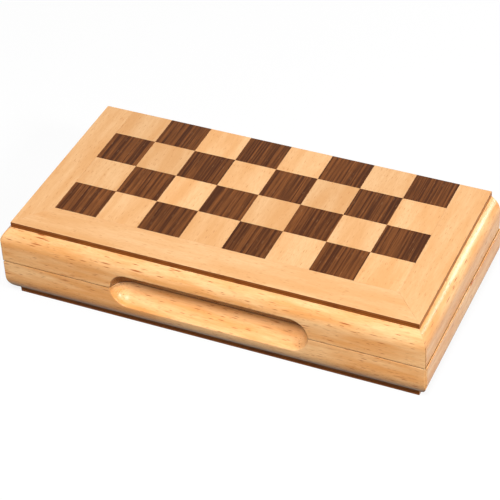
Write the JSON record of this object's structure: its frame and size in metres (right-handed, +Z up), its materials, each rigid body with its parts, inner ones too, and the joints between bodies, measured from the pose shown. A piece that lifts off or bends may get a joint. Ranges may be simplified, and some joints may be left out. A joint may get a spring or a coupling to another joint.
{
  "type": "folding travel chess set",
  "caption": "Folding wooden chess case with the board inlaid on its outer faces, a finger scoop, a back hinge and turned men in fitted trays.",
  "frame": {"origin": "middle of the case's footprint, on the resting face of the base's board panel", "axes": "+X along the case to the right as seen from the finger scoop, +Y to the hinged back, +Z up"},
  "size_m": [0.2368, 0.121, 0.0466],
  "materials": {
    "beech_rail": "satin lacquer",
    "beech_veneer": "satin lacquer",
    "walnut_veneer": "satin lacquer",
    "panel_plywood": "stained edge",
    "steel_sheet": "tinned",
    "flocked_tray": "flocked",
    "brass": "polished",
    "pin_steel": "drawn wire",
    "magnet": "nickel plated",
    "light_men": "waxed boxwood",
    "dark_men": "stained and waxed",
    "baize": "napped"
  },
  "bodies": {
    "base": {"base_front_rail": "beech_rail", "base_left_rail": "beech_rail", "base_right_rail": "beech_rail", "base_back_rail": "beech_rail", "base_panel_core": "panel_plywood", "base_steel_sheet": "steel_sheet", "base_border_front": "beech_veneer", "base_border_left": "beech_veneer", "base_border_right": "beech_veneer", "base_light_squares": "beech_veneer", "base_dark_squares": "walnut_veneer", "base_tray": "flocked_tray", "base_hinge_leaves": "brass", "base_hinge_screws": "brass", "base_clasp_magnets": "magnet", "light_king": "light_men", "light_queen": "light_men", "light_bishops": "light_men", "light_knights": "light_men", "light_rooks": "light_men", "light_pawns": "light_men", "light_magnets": "magnet", "light_baize": "baize", "hinge_pins": "pin_steel"},
    "lid": {"lid_front_rail": "beech_rail", "lid_left_rail": "beech_rail", "lid_right_rail": "beech_rail", "lid_back_rail": "beech_rail", "lid_panel_core": "panel_plywood", "lid_steel_sheet": "steel_sheet", "lid_border_front": "beech_veneer", "lid_border_left": "beech_veneer", "lid_border_right": "beech_veneer", "lid_light_squares": "beech_veneer", "lid_dark_squares": "walnut_veneer", "lid_tray": "flocked_tray", "lid_hinge_leaves": "brass", "lid_hinge_screws": "brass", "lid_clasp_magnets": "magnet", "dark_king": "dark_men", "dark_queen": "dark_men", "dark_bishops": "dark_men", "dark_knights": "dark_men", "dark_rooks": "dark_men", "dark_pawns": "dark_men", "dark_magnets": "magnet", "dark_baize": "baize"}
  },
  "joints": [
    {"name": "lid_hinge", "type": "hinge", "parent": "base", "child": "lid", "pos_m": [0, 0.05945, 0.0233], "axis": [-1, 0, 0], "range_deg": [0, 180]}
  ]
}
